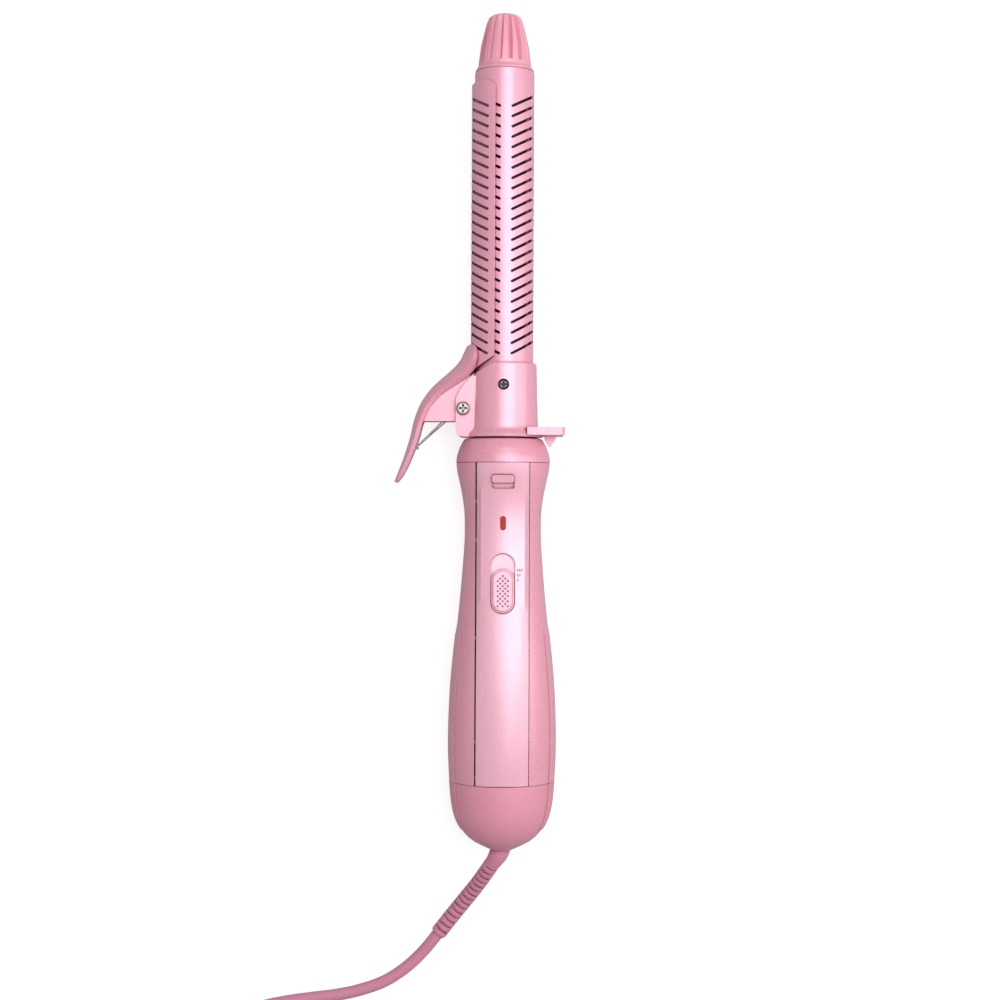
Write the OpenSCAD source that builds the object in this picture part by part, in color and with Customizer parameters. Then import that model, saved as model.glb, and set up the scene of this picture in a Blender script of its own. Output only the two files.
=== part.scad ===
// Hot-air curling iron: vented barrel with a spring clamp, pulled off a blower handle.
// Millimetres. Built round the tool's own axis: Y runs to the tip, Z to the front face, Y = 0 at the
// joint of head and handle. seated() then lays the iron on its back, with the ground at Z = 0.

/* [Barrel] */
// Radius of the vented barrel
barrel_r = 12.7; // [12.5:0.1:12.8]
// Height of the barrel's top edge above the joint
barrel_top = 155.9; // [155.5:0.1:156]
// Wall of the barrel
barrel_wall = 1.1; // [0.9:0.1:1.3]
// Rows of air slots
slot_rows = 25; // [20:1:26]
// Distance from one row of slots to the next
slot_pitch = 4.33; // [4.2:0.01:4.4]
// Width of an air slot
slot_w = 1.15; // [0.9:0.05:1.3]
// Rise of a slot across the barrel, in degrees
slot_rise = 25; // [20:1:28]
// Turn of the slot pattern round the barrel, in degrees
slot_turn = 3; // [0:1:4]
// Overall height of the ribbed tip above the joint
tip_top = 180.4; // [178:0.2:184]
// Grip ribs round the tip
tip_ribs = 15; // [12:1:22]

/* [Clamp] */
// Outer radius of the clamp blade
blade_r = 14; // [13.9:0.1:14.1]
// Thickness of the clamp blade
blade_wall = 1; // [0.8:0.1:1]
// Height of the blade's top edge above the joint
blade_top = 150.5; // [148:0.5:152]
// Angle from the front line to each long edge of the blade
blade_edge = 17; // [16:0.5:20]
// Hinge pin radius
pin_r = 1.5; // [1.4:0.05:1.6]
// Running clearance round the hinge pin
pin_gap = 0.05; // [0.02:0.01:0.08]
// Wire radius of the clamp spring
wire_r = 0.33; // [0.3:0.01:0.4]

/* [Collar] */
// Height of the collar's top edge
collar_top = 31.8; // [31:0.1:32.5]
// Outer radius of the collar at its top
collar_top_r = 14.1; // [14:0.05:14.3]
// Outer radius of the collar at its foot
collar_low_r = 14.8; // [14.6:0.05:15]
// Reach of the rest foot from the axis
foot_reach = 25.9; // [24:0.1:28]
// Width of the rest foot
foot_w = 28; // [24:1:30]

/* [Handle] */
// Wall of the handle's casings
wall = 1.8; // [1.6:0.1:2]
// Width of the raised front panel
panel_w = 22; // [21.5:0.1:22.5]
// Travel of the heat switch
switch_travel = 6.3; // [6:0.1:6.3]
// Travel of the release button
button_travel = 2.7; // [2.4:0.1:2.8]
// Radius of the blower fan
fan_r = 15.9; // [15:0.1:16]
// Blades on the blower fan
fan_blades = 9; // [7:1:11]

/* [Cord] */
// Diameter of the cord
cord_d = 5.2; // [5:0.1:5.4]
// Radius of the middle of the coil's turns
coil_mid_r = 30.9; // [30:0.1:31.2]
// Turns lying side by side in one layer of the coil
coil_columns = 4; // [4:1:4]
// Radius of a plug pin
plug_pin_r = 2.4; // [2.35:0.05:2.4]
// Length of a plug pin
plug_pin_long = 19; // [18:0.5:19]

/* [Hidden] */
$fn = 64;

// Colours
pink = [0.93, 0.70, 0.78];
deep_pink = [0.83, 0.52, 0.61];
cord_pink = [0.80, 0.52, 0.63];
steel = [0.75, 0.75, 0.76];
dark = [0.12, 0.11, 0.12];
mica = [0.78, 0.72, 0.58];
brass = [0.80, 0.65, 0.35];

// Outline of the handle: [height, radius] from the seam of the top ring down to the cord
handle_line = [[-10.4, 20.0], [-13.5, 19.7], [-22.1, 17.8], [-30.7, 16.5], [-42, 16.3], [-56.4, 17.2],
               [-72.4, 18.6], [-93.7, 20.9], [-107.8, 22.05], [-129.2, 22.7], [-145.4, 22.1],
               [-153.9, 21.4], [-160.5, 20.1], [-166, 17.5], [-171, 12.8], [-175.1, 5]];
ring_seam = handle_line[0][0];
cap_seam = -145.4;
seam_gap = 0.2;
handle_end = -175.1;
belly_r = 22.7;

// Places along the axis
slot_first = 139.3;
button_mid = -18.7;
button_z = 18.3;
button_tilt = 13.1;
lamp_mid = -36;
lamp_z = 15.9;
switch_mid = -61.2;
switch_z = 17.15;
switch_tilt = -4.6;
hinge = [-17.0, 12.3];
lug_face = 8.3;
lug_inner = 6.1;
cheek_face = 5.9;

// Where the tool's axis and joint sit when the iron lies on its back, centred over the origin
lever_reach = 46.6;
axis_x = (lever_reach - foot_reach) / 2;
joint_y = -(tip_top + handle_end) / 2;
axis_z = belly_r;

// ---- Curves ----

// Slope of a station list at entry i
function slope_at(line, i) =
    let (a = line[max(i - 1, 0)], b = line[min(i + 1, len(line) - 1)]) (b[1] - a[1]) / (b[0] - a[0]);
// Index of the stretch of a falling station list that holds height y
function stretch(line, y, i = 0) =
    (i >= len(line) - 2 || y >= line[i + 1][0]) ? i : stretch(line, y, i + 1);
// Smooth radius of a station list at height y
function smooth_r(line, y) =
    let (i = stretch(line, y), a = line[i], b = line[i + 1], h = b[0] - a[0], t = (y - a[0]) / h)
    (2 * t ^ 3 - 3 * t ^ 2 + 1) * a[1] + (t ^ 3 - 2 * t ^ 2 + t) * h * slope_at(line, i)
    + (3 * t ^ 2 - 2 * t ^ 3) * b[1] + (t ^ 3 - t ^ 2) * h * slope_at(line, i + 1);
function handle_r(y) = smooth_r(handle_line, y);
// Heights from y0 down to y1 in n equal steps
function heights(y0, y1, n) = [for (i = [0 : n]) y0 + (y1 - y0) * i / n];

// Point on a smooth curve through a list of stations of any size
function on_curve(p, t) =
    let (i = min(floor(t), len(p) - 2), u = t - i,
         a = p[max(i - 1, 0)], b = p[i], c = p[i + 1], d = p[min(i + 2, len(p) - 1)])
    0.5 * (2 * b + (c - a) * u + (2 * a - 5 * b + 4 * c - d) * u ^ 2 + (3 * b - a - 3 * c + d) * u ^ 3);
function smooth_route(p, per) =
    [for (k = [0 : (len(p) - 1) * per]) on_curve(p, k / per)];

// Faces of a closed skin over rows of points, each row a ring of n points
function skin_faces(rows, n) = concat(
    [[for (k = [0 : n - 1]) k]],
    [for (i = [0 : rows - 2], k = [0 : n - 1]) each
        [[i * n + k, (i + 1) * n + k, (i + 1) * n + (k + 1) % n],
         [i * n + k, (i + 1) * n + (k + 1) % n, i * n + (k + 1) % n]]],
    [[for (k = [n - 1 : -1 : 0]) (rows - 1) * n + k]]);

// ---- Placing and turning ----

module seated() translate([axis_x, joint_y, axis_z]) children();

// Turns an outline of [radius, height] points about the axis, between two angles from the front line
module turned(outline, from = 0, to = 360)
    rotate([-90, 0, 0]) rotate([0, 0, from - 90]) rotate_extrude(angle = to - from) polygon(outline);

// A solid rod along the axis between two heights
module rod(r, y0, y1) translate([0, y0, 0]) rotate([-90, 0, 0]) cylinder(r = r, h = y1 - y0);
module pipe(r, inner, y0, y1) turned([[inner, y0], [r, y0], [r, y1], [inner, y1]]);

// A slot outline with round ends, centred, long side along Y
module stadium(w, long) {
    square([w, long - w], center = true);
    for (s = [-1, 1]) translate([0, s * (long - w) / 2]) circle(d = w);
}

// A rectangle with round corners, centred
module rounded(w, h, r) {
    square([w - 2 * r, h], center = true);
    square([w, h - 2 * r], center = true);
    for (x = [-1, 1], y = [-1, 1]) translate([x * (w / 2 - r), y * (h / 2 - r)]) circle(r = r);
}

// A tube through a list of points, with a radius for each point
module tube(p, r, sides = 8) {
    n = len(p);
    rows = [for (i = [0 : n - 1])
        let (d = p[min(i + 1, n - 1)] - p[max(i - 1, 0)], t = d / norm(d),
             s0 = cross([0, 0, 1], t), s = s0 / norm(s0), u = cross(t, s))
        [for (k = [0 : sides - 1]) p[i] + r[i] * (cos(360 * k / sides) * s + sin(360 * k / sides) * u)]];
    polyhedron(points = [for (row = rows) each row], faces = skin_faces(n, sides));
}

// ---- Handle casings ----

// Outline of a casing wall that follows the handle between two heights
function casing(y0, y1, n) = concat(
    [for (y = heights(y0, y1, n)) [handle_r(y), y]],
    [for (y = heights(y1, y0, n)) [handle_r(y) - wall, y]]);

// The shallow raised pad along each side of the belly
pad_top = -79.6;
pad_half = 28;
pad_raise = 0.4;
module side_pad(y0, y1, side) {
    steps = 14;
    turned(concat([for (y = heights(y0, y1, steps))
                      [handle_r(y) + pad_raise * min(1, (pad_top - y) / 4 + 0.01), y]],
                  [for (y = heights(y1, y0, steps)) [handle_r(y) - 0.5, y]]),
           side - pad_half, side + pad_half);
}

boss_spots = [[13.3, -82], [15.4, -139.2]];
boss_r = 2.4;

// Screw bosses, trimmed to the inside of the casing
module bosses(z0, z1) intersection() {
    for (spot = boss_spots, s = [-1, 1]) translate([s * spot[0], spot[1], z0])
        cylinder(r = boss_r, h = z1 - z0);
    turned(concat([for (y = heights(ring_seam, cap_seam, 34)) [handle_r(y) - 0.5, y]],
                  [[0, cap_seam], [0, ring_seam]]));
}

// Cross ribs that tie the two sides of the front shell together under the front panel
bridge_spots = [-27, -43.5, -84, -127, -142];
function panel_foot(y) = sqrt(handle_r(y) ^ 2 - (panel_w / 2) ^ 2);
module bridges() for (y = bridge_spots)
    translate([-12.5, y - 0.75, panel_foot(y) - 2.7]) cube([25, 1.5, 1.15]);

module front_shell() seated() color(pink) difference() {
    union() {
        difference() {
            union() {
                turned(casing(ring_seam - seam_gap, cap_seam, 34), -90, 90);
                intersection() {
                    union() for (side = [-90, 90]) side_pad(pad_top, cap_seam, side);
                    translate([-40, -150, 0]) cube([80, 150, 40]);
                }
                bosses(0, 20);
            }
            // Opening for the panel, with a wider groove on the lever's side
            translate([-panel_w / 2 - 0.6, cap_seam - 1, 0]) cube([panel_w + 0.85, 140, 40]);
        }
        bridges();
    }
    for (spot = boss_spots, s = [-1, 1]) translate([s * spot[0], spot[1], -1]) cylinder(r = 1.3, h = 8);
}

module back_shell() seated() color(pink) difference() {
    union() {
        turned(casing(ring_seam - seam_gap, cap_seam, 34), 90, 270);
        intersection() {
            union() for (side = [-90, 90]) side_pad(pad_top, cap_seam, side);
            translate([-40, -150, -40]) cube([80, 150, 40]);
        }
        bosses(-22, 0);
    }
    for (spot = boss_spots, s = [-1, 1]) translate([s * spot[0], spot[1], 0]) {
        translate([0, 0, -30]) cylinder(r = 1.6, h = 31);
        translate([0, 0, -31.5]) cylinder(r = 2, h = 24);
    }
}

module shell_screws() seated() color(steel)
    for (spot = boss_spots, s = [-1, 1]) translate([s * spot[0], spot[1], 0]) difference() {
        union() {
            translate([0, 0, -7.4]) cylinder(r = 1.28, h = 13);
            translate([0, 0, -9.2]) cylinder(r = 1.9, h = 1.8);
        }
        translate([0, 0, -9.3]) for (a = [0, 90]) rotate([0, 0, a]) cube([2.2, 0.5, 1.6], center = true);
    }

// Cross-section of the front panel at height y, in X and Z: crowned face, bevelled sides, open back
panel_flat = 9.2;
panel_crown = 32;
panel_wall = 1.6;
function panel_top(y) = handle_r(y) - 0.4;
function crown(x) = x ^ 2 / (2 * panel_crown);
function panel_ring(y) =
    let (half = panel_w / 2, foot = sqrt(handle_r(y) ^ 2 - half ^ 2), top = panel_top(y),
         xs = [for (k = [-4 : 4]) panel_flat * k / 4])
    [for (q = concat([[-half, foot - 1.4], [-half, foot]],
                     [for (x = xs) [x, top - crown(x)]],
                     [[half, foot], [half, foot - 1.4], [half - 2, foot - 1.1],
                      [half - 2.6, top - crown(panel_flat) - panel_wall],
                      [2.6 - half, top - crown(panel_flat) - panel_wall],
                      [2 - half, foot - 1.1]])) [q[0], y, q[1]]];

// Frames that lie on the panel's face at the button and the switch, Z outwards
module at_button() translate([0, button_mid, button_z]) rotate([button_tilt, 0, 0]) children();
module at_switch() translate([0, switch_mid, switch_z]) rotate([switch_tilt, 0, 0]) children();

button_w = 9.6;
button_h = 6.3;
recess_w = 10.4;
recess_long = 25.6;
knob_long = recess_long - switch_travel;

module front_panel() seated() color(pink) difference() {
    rows = [for (y = heights(cap_seam + 0.1, ring_seam - seam_gap, 34)) panel_ring(y)];
    polyhedron(points = [for (row = rows) each row], faces = skin_faces(len(rows), len(rows[0])));
    at_button() {
        translate([0, 0, -1.4]) linear_extrude(4) rounded(button_w, button_h, 1.2);
        translate([-2.2, -0.8, -6]) cube([4.4, 3.9, 5]);
        // Groove along the button's lower edge
        translate([-4.3, -0.9, -2.5]) cube([8.6, 0.7, 3]);
    }
    translate([0, lamp_mid, lamp_z - 5]) linear_extrude(7) stadium(2.5, 6);
    at_switch() {
        translate([0, 0, -1.3]) linear_extrude(5) stadium(recess_w, recess_long);
        translate([0, 0, -6]) linear_extrude(5.5) stadium(3.4, 3.2 + switch_travel);
    }
}

module top_ring() seated() color(pink) difference() {
    turned([[12.2, -0.2], [15.8, -0.2], [16.5, -0.5], [17, -1.1], [18.5, -3.9], [19.55, -7], [19.9, -8.8],
            [20, ring_seam], [18.0, ring_seam], [17.75, -12.6], [16.4, -12.6], [16.4, -9.4], [13.8, -7],
            [13.8, -15], [12.2, -15]]);
    // The lip is lower where the front panel passes over it
    translate([-9, -13, 16.3]) cube([18, 13 + ring_seam - 0.1, 4]);
}

cap_line_steps = 16;
module end_cap() seated() color(deep_pink) difference() {
    union() {
        turned(concat([for (y = heights(cap_seam - 0.15, handle_end, cap_line_steps)) [handle_r(y), y]],
                      [[4.1, handle_end], [4.1, handle_end + 2.2]],
                      [for (y = heights(handle_end + 3, cap_seam - 0.15, cap_line_steps - 2))
                          [handle_r(y) - wall, y]]));
        // Lip inside the casings, open under the front panel
        difference() {
            turned([[18.9, cap_seam + 3], [20.2, cap_seam + 3], [20.2, cap_seam - 1], [20.9, cap_seam - 4],
                    [18.9, cap_seam - 4]]);
            translate([-panel_w / 2 - 0.6, cap_seam, 10]) cube([panel_w + 1.2, 5, 20]);
        }
        for (side = [-90, 90]) side_pad(cap_seam - 0.15, -166, side);
    }
    // Air intake: upright slots across the back
    for (k = [-4 : 4]) translate([k * 3.1, -156, -32]) linear_extrude(18) stadium(1.5, 14);
}

module intake_screen() seated() color(dark) difference() {
    turned([for (y = [-149.5, -156, -162.5]) [handle_r(y) - wall - 0.15, y],
            for (y = [-162.5, -156, -149.5]) [handle_r(y) - wall - 0.85, y]], 132, 228);
    for (i = [-7 : 7], j = [-3 : 3])
        translate([i * 1.9 + (j % 2) * 0.9, -156 + j * 1.7, -24]) cylinder(r = 0.6, h = 12, $fn = 16);
}

// ---- Heater ----

heater_low = -74;
heater_high = -19;
heater_r = 9.2;

module heater_sleeve() seated() color(mica) pipe(heater_r, heater_r - 0.5, heater_low, heater_high);

// Crossed mica boards that carry the coil
module heater_frame() seated() color(mica) difference() {
    for (a = [45, 135]) rotate([0, a, 0])
        translate([-8.9, heater_low + 1, -0.35]) cube([17.8, heater_high - heater_low - 2, 0.7]);
    turned([[6.2, heater_low + 5], [7.6, heater_low + 5], [7.6, heater_high - 6], [6.2, heater_high - 6]]);
}

// Resistance wire, drawn as closed rings wound on the boards
module heater_coil() seated() color(steel)
    for (k = [0 : 14]) translate([0, heater_low + 7 + k * 2.9, 0]) rotate([-90, 0, 0])
        rotate_extrude() translate([6.9, 0]) circle(r = 0.45, $fn = 16);

module thermostat() seated() color(steel) {
    translate([-2.6, heater_high + 0.1, -2.2]) cube([5.2, 1.8, 4.4]);
    for (s = [-1, 1]) translate([s * 1.7, heater_high - 0.9, 0]) rotate([-90, 0, 0]) cylinder(r = 0.4, h = 1);
}

module thermal_fuse() seated() color(steel) {
    rod(1.3, heater_low - 9, heater_low - 2);
    rod(0.35, heater_low - 10.5, heater_low + 0.9);
}

// ---- Blower ----

motor_low = -138;
motor_high = -110;
motor_r = 12;
shaft_r = 1;

module motor() seated() color(steel) difference() {
    union() {
        rod(motor_r, motor_low, motor_high);
        rod(3, motor_high, motor_high + 1.4);
        rod(3, motor_low - 1.6, motor_low);
    }
    rod(shaft_r + 0.05, motor_low - 3, motor_high + 3);
    for (s = [-1, 1]) translate([s * 8.4, motor_high - 2, 0]) rotate([-90, 0, 0]) cylinder(r = 1.3, h = 3);
}

// Shroud round the fan, with vanes that hold the motor in the air path
module motor_mount() seated() color(dark) {
    pipe(17.2, 16.5, -112, -91);
    difference() {
        pipe(13.6, motor_r, -124, -111);
        translate([0, -111, 0]) rotate([-90, 0, 0]) cylinder(r = 20, h = 4);
    }
    for (a = [0 : 60 : 300]) rotate([0, a, 0]) translate([13.4, -119, -0.6]) cube([3.4, 10.5, 1.2]);
}

module rotor_shaft() seated() color(steel) rod(shaft_r, motor_low - 3.4, -95);

module fan_rotor() seated() color(dark) {
    difference() {
        turned([[shaft_r, -107.5], [8, -107.5], [8, -104], [6.5, -99], [3.5, -96.2], [shaft_r, -95.6]]);
        rod(shaft_r - 0.01, -110, -90);
    }
    for (k = [0 : fan_blades - 1]) rotate([0, k * 360 / fan_blades, 0])
        intersection() {
            translate([6, -102.3, 0]) rotate([38, 0, 0]) translate([0, -4.5, -0.6]) cube([12, 9, 1.2]);
            pipe(fan_r, 6, -107, -97);
        }
}

// ---- Controls ----

module circuit_board() seated() color([0.2, 0.42, 0.28])
    translate([-7.5, -80, 10.1]) cube([15, 34, 1]);

module switch_body() seated() color(dark) difference() {
    translate([-4, -69.5, 11.1]) cube([8, 16.5, 2.0]);
    translate([-1.3, -67.5, 11.9]) cube([2.6, 12.5, 2]);
}

module indicator_led() seated() color([0.75, 0.1, 0.1]) {
    translate([0, lamp_mid, 10.2]) cylinder(r = 1, h = 1.6);
    translate([-1.6, lamp_mid - 1.6, 9.9]) cube([3.2, 3.2, 0.3]);
}

module indicator_lens() seated() color([0.75, 0.08, 0.06]) translate([0, lamp_mid, 12.2])
    linear_extrude(lamp_z - 12.2 - 0.1) stadium(2.46, 5.96);

// Sliding heat switch: stepped cap with rows of grip pits, and a stem to the switch below
pit_rows = 13;
pit_pitch = 1.05;
module switch_knob() seated() color(pink) at_switch() translate([0, (knob_long - recess_long) / 2, 0]) {
    difference() {
        union() {
            translate([0, 0, -1.2]) linear_extrude(1.15) stadium(recess_w - 1, knob_long - 1);
            linear_extrude(0.95) stadium(recess_w - 2.7, knob_long - 2.7);
            translate([0, 0, -0.06]) linear_extrude(0.4) stadium(recess_w - 2, knob_long - 2);
        }
        for (row = [0 : pit_rows - 1]) {
            across = row == 0 ? [0] : row % 2 == 1 ? [-1, 1] : [-2, 0, 2];
            for (x = across) translate([x * pit_pitch, ((pit_rows - 1) / 2 - row) * pit_pitch, 0.4])
                cylinder(r = 0.42, h = 1, $fn = 16);
        }
    }
    translate([-1.1, -1.1, -4.4]) cube([2.2, 2.2, 3.3]);
}

module release_button() seated() color(pink) at_button() {
    translate([0, (button_h - 3.3) / 2 - 0.12, -1.25]) linear_extrude(1.95) rounded(button_w - 0.3, 3.3, 1.1);
    // Stem and the plate that catches the head
    translate([-1.9, 2, -3.6]) cube([3.8, 1, 2.5]);
    translate([-3.4, 1.6, -4.4]) cube([6.8, 1.4, 0.9]);
}

module release_spring() seated() color(steel) at_button() for (k = [0 : 3])
    translate([0, 1.2 - button_travel - k * 0.55, -4.4]) rotate([90, 0, 0])
        rotate_extrude() translate([0.9, 0]) circle(r = 0.2, $fn = 16);

// ---- Head ----

// One air slot: a thin slanting cut from near the front line round the side
slot_depth_tilt = 9.6;
module slot_cut(x0, front) {
    z0 = front ? -2.2 : -20;
    z1 = front ? 20 : -5.2;
    translate([x0 + slot_w / 2, 0, 0]) rotate([front ? slot_depth_tilt : -slot_depth_tilt, 0, 0])
        rotate([0, 0, slot_rise]) translate([0, 0, z0]) linear_extrude(z1 - z0)
            polygon(concat([[16, -slot_w / 2], [16, slot_w / 2]],
                           [for (a = [90 : 30 : 270]) slot_w / 2 * [cos(a), sin(a)]]));
}
function slot_y(row) = slot_first - row * slot_pitch;
// How far a slot's plane falls from the axis to its front end
slot_drop = 12.3 * tan(slot_depth_tilt);
module slot_column(x0, front, side)
    for (row = [0 : slot_rows - 1]) translate([0, slot_y(row) + slot_drop, 0])
        mirror([side < 0 ? 1 : 0, 0, 0]) slot_cut(x0, front);

barrel_rib = 57;
rib_low = 9;
module barrel() seated() color(pink) rotate([0, slot_turn, 0]) {
    difference() {
        turned([[barrel_r - barrel_wall, 1], [barrel_r, 1], [barrel_r, barrel_top - 0.5],
                [barrel_r - 0.4, barrel_top], [9.6, barrel_top], [9.6, barrel_top - 1.2],
                [barrel_r - barrel_wall, barrel_top - 2.4]]);
        for (side = [-1, 1], front = [true, false]) slot_column(2.15, front, side);
    }
    // Inner stiffening ribs
    for (a = [barrel_rib, -barrel_rib]) rotate([0, a, 0])
        translate([-0.35, rib_low, barrel_r - barrel_wall - 1]) cube([0.7, slot_first - rib_low, 1.1]);
}

// Dark perforated tube that spreads the air inside the barrel
module air_guide() seated() color(dark) difference() {
    turned([[9.4, 3], [10.2, 3], [10.2, 152], [9.4, 152.8], [0, 152.8], [0, 152], [9.4, 152]]);
    for (row = [0 : 2 : slot_rows - 1], a = [90, 210, 330]) translate([0, slot_y(row) - 2, 0]) rotate([0, a, 0])
        cylinder(r = 1.6, h = 12);
}

tip_base = 157.5;
tip_rib_low = 159.6;
flange_low = 156;
module cool_tip() seated() color(deep_pink) difference() {
    turned([[0, tip_base - 3.4], [9.4, tip_base - 3.4], [9.4, flange_low], [12.4, flange_low],
            [12.5, flange_low + 0.4], [12, flange_low + 1.3], [11.3, flange_low + 2], [11.2, tip_rib_low],
            [10.25, 167], [8.9, 173], [7.9, 176.8], [7.1, 178.9], [5.6, 180], [3.4, 180.35], [0, tip_top]]);
    // Saw-tooth grooves between the grip ribs
    for (k = [0 : tip_ribs - 1]) rotate([0, (k + 0.35) * 360 / tip_ribs, 0])
        translate([0, tip_rib_low, 11.35]) rotate([-10.5, 0, 0]) rotate([0, 32, 0])
            translate([-0.3, 0, -0.85]) cube([1.9, 22, 2.2]);
    rod(1.25, tip_base - 4, 166);
}

module tip_screw() seated() color(steel) {
    rod(1.2, 153.1, 165.5);
    difference() {
        rod(2.6, 149.4 + 1.9, 153.1);
        rod(1, 151, 152.2);
    }
}

// Collar: sleeve with hinge lugs, slanted cut for the clamp, base flare and rest foot
module lug_outline()
    polygon([[-20.2, 3.8], [-20.2, 15.6], [-19.9, 17.2], [-18.6, 19.8], [-16.8, 22.4], [-14.9, 24.6], [-13.2, 26.2],
             [-9, 26.2], [-9, 0.4], [-17, 0.4], [-18.6, 0.8], [-19.8, 2.1]]);

module foot_outline()
    polygon([[10, 1.1], [foot_reach - 0.3, 1.1], [foot_reach, 1.4], [foot_reach, 4], [foot_reach - 0.4, 4.4],
             [10, 4.4]]);

module collar() seated() color(pink) difference() {
    union() {
        turned([[12.75, 0.35], [16.6, 0.35], [16.9, 0.8], [16.6, 1.8], [15.6, 2.9], [15, 3.9], [collar_low_r, 5.2],
                [collar_top_r, collar_top - 0.6], [collar_top_r - 0.5, collar_top], [12.75, collar_top]]);
        difference() {
            translate([0, 0, -lug_face]) linear_extrude(2 * lug_face) lug_outline();
            rod(12.75, -1, 40);
        }
        difference() {
            translate([0, 0, -foot_w / 2]) linear_extrude(foot_w) foot_outline();
            rod(12.75, -1, 40);
            for (s = [-1, 1]) translate([foot_reach, -1, s * foot_w / 2]) rotate([0, 45, 0])
                translate([-0.8, 0, -0.8]) cube([1.6, 8, 1.6]);
        }
        // Web under the foot
        translate([0, 0, -1.1]) linear_extrude(2.2)
            polygon([[17.6, 1.4], [22.8, 1.4], [22.2, -0.6], [20.2, -3.7], [19.2, -3.4], [17.6, -0.2]]);
    }
    // Slanted cut that lets the clamp blade through
    translate([-2.7, 32.4, -20]) rotate([0, 0, 29.5]) translate([-30, 0, 0]) cube([30, 30, 40]);
    // Room for the lever between the lugs
    translate([-30, -1, -lug_inner]) cube([30 - 13.1, 40, 2 * lug_inner]);
    // Hinge bore, and seats of the collar screws
    translate([hinge[0], hinge[1], -20]) cylinder(r = pin_r + 0.02, h = 40);
    for (a = [0, 180]) rotate([0, a, 0]) translate([0, collar_screw_y, 12]) cylinder(r = 2.35, h = 5);
}

collar_screw_y = 22.2;
module screw_head(r, h, dome) {
    difference() {
        union() {
            cylinder(r = r, h = h);
            translate([0, 0, h]) cylinder(r1 = r, r2 = r * 0.72, h = dome);
        }
        for (a = [0, 90]) rotate([0, 0, a])
            translate([-r * 0.6, -r * 0.18, h * 0.15]) cube([r * 1.2, r * 0.36, 5]);
    }
}

module collar_screws() seated() color(steel)
    for (a = [0, 180]) rotate([0, a, 0]) translate([0, collar_screw_y, 12.74]) screw_head(2.2, 0.7, 0.5);

// Inner plug of the head, which slides into the handle's top ring
module spigot() seated() color(dark)
    turned([[10.6, -14.6], [11.7, -14.6], [12.1, -14], [12.1, 0.4], [12.72, 0.4], [12.72, 0.95], [11.5, 0.95],
            [11.5, 8], [10.6, 8]]);

module hinge_screw() seated() color(steel) translate([hinge[0], hinge[1], 0]) {
    translate([0, 0, -lug_face - 2.6]) cylinder(r = pin_r, h = 2 * lug_face + 2.6);
    translate([0, 0, lug_face]) screw_head(2.85, 0.9, 0.7);
}

module hinge_nut() seated() color(steel) translate([hinge[0], hinge[1], -lug_face - 2.3]) difference() {
    cylinder(r = 3.1, h = 2.3, $fn = 6);
    translate([0, 0, -1]) cylinder(r = pin_r + 0.02, h = 5);
}

// ---- Clamp ----

blade_corner = 4.4;
blade_low = 27;
module clamp_blade() seated() color(pink) difference() {
    turned([[blade_r - blade_wall, blade_low], [blade_r, blade_low], [blade_r, blade_top - 0.3],
            [blade_r - 0.3, blade_top], [blade_r - blade_wall, blade_top]], -180 + blade_edge, -blade_edge);
    // Slanted lower end, clear of the collar
    translate([-1.9, 35.8, -20]) rotate([0, 0, 32.8]) translate([-30, -30, 0]) cube([60, 30, 40]);
    // Rounded top corners
    for (s = [-1, 1]) rotate([0, s * (90 - blade_edge) - 90, 0])
        translate([0, blade_top - blade_corner, 0]) rotate([0, s * -blade_corner * 180 / PI / blade_r, 0])
            linear_extrude(20) mirror([s > 0 ? 0 : 1, 0])
                polygon(concat([[8, -0.6], [8, 8], [-0.6, 8]],
                               [for (a = [95 : -12.5 : -5]) blade_corner * [cos(a), sin(a)]]));
    for (front = [true, false]) slot_column(6.6, front, -1);
}

// Lever stations: outer line X and Y, half width, crown depth, thickness, inward direction
lever_line = [
    [-14.3, 39.9, 4.6, 1.0, 1.2, 0],
    [-15.7, 39.0, 8.2, 2.8, 2.8, 0],
    [-16.9, 36.6, 10.4, 4.6, 3.9, -4],
    [-18.4, 33.4, 11.0, 5.2, 4.4, -12],
    [-21.8, 29.4, 10.4, 4.8, 4.0, -30],
    [-29.9, 22.2, 9.2, 3.7, 2.4, -38],
    [-34.9, 15.6, 8.6, 3.0, 2.1, -32],
    [-38.0, 8.1, 8.0, 2.6, 2.0, -20],
    [-39.9, 0, 7.4, 2.2, 2.0, -15],
    [-42.7, -8.8, 6.6, 1.7, 1.9, -20],
    [-45.2, -15.4, 5.2, 1.1, 1.7, -22],
    [-46.5, -18.7, 2.6, 0.5, 1.2, -22]];
lever_steps = 3;
arc_steps = 6;
function lever_ring(s) =
    let (w = s[2], sag = s[3], rho = (w ^ 2 + sag ^ 2) / (2 * sag), spread = 2 * atan(sag / w),
         inner = max(rho - s[4], 1), spread_in = min(spread, asin(min(1, (w - 0.3) / inner))),
         d = [cos(s[5]), sin(s[5])])
    concat([for (k = [-arc_steps : arc_steps]) let (a = spread * k / arc_steps, q = rho * (1 - cos(a)))
                [s[0] + d[0] * q, s[1] + d[1] * q, rho * sin(a)]],
           [for (k = [arc_steps : -1 : -arc_steps]) let (a = spread_in * k / arc_steps, q = rho - inner * cos(a))
                [s[0] + d[0] * q, s[1] + d[1] * q, inner * sin(a)]]);

module cheek_outline() difference() {
    polygon([[-36.2, 7], [-17.4, 7], [-15, 8.2], [-13.6, 10.4], [-13.4, 12.3], [-13.6, 14.2], [-14.3, 18], [-14.3, 30],
             [-15.4, 33], [-19.2, 30.2], [-26.8, 22.6], [-32.4, 15]]);
    translate(hinge) circle(r = pin_r + pin_gap);
}

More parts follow.
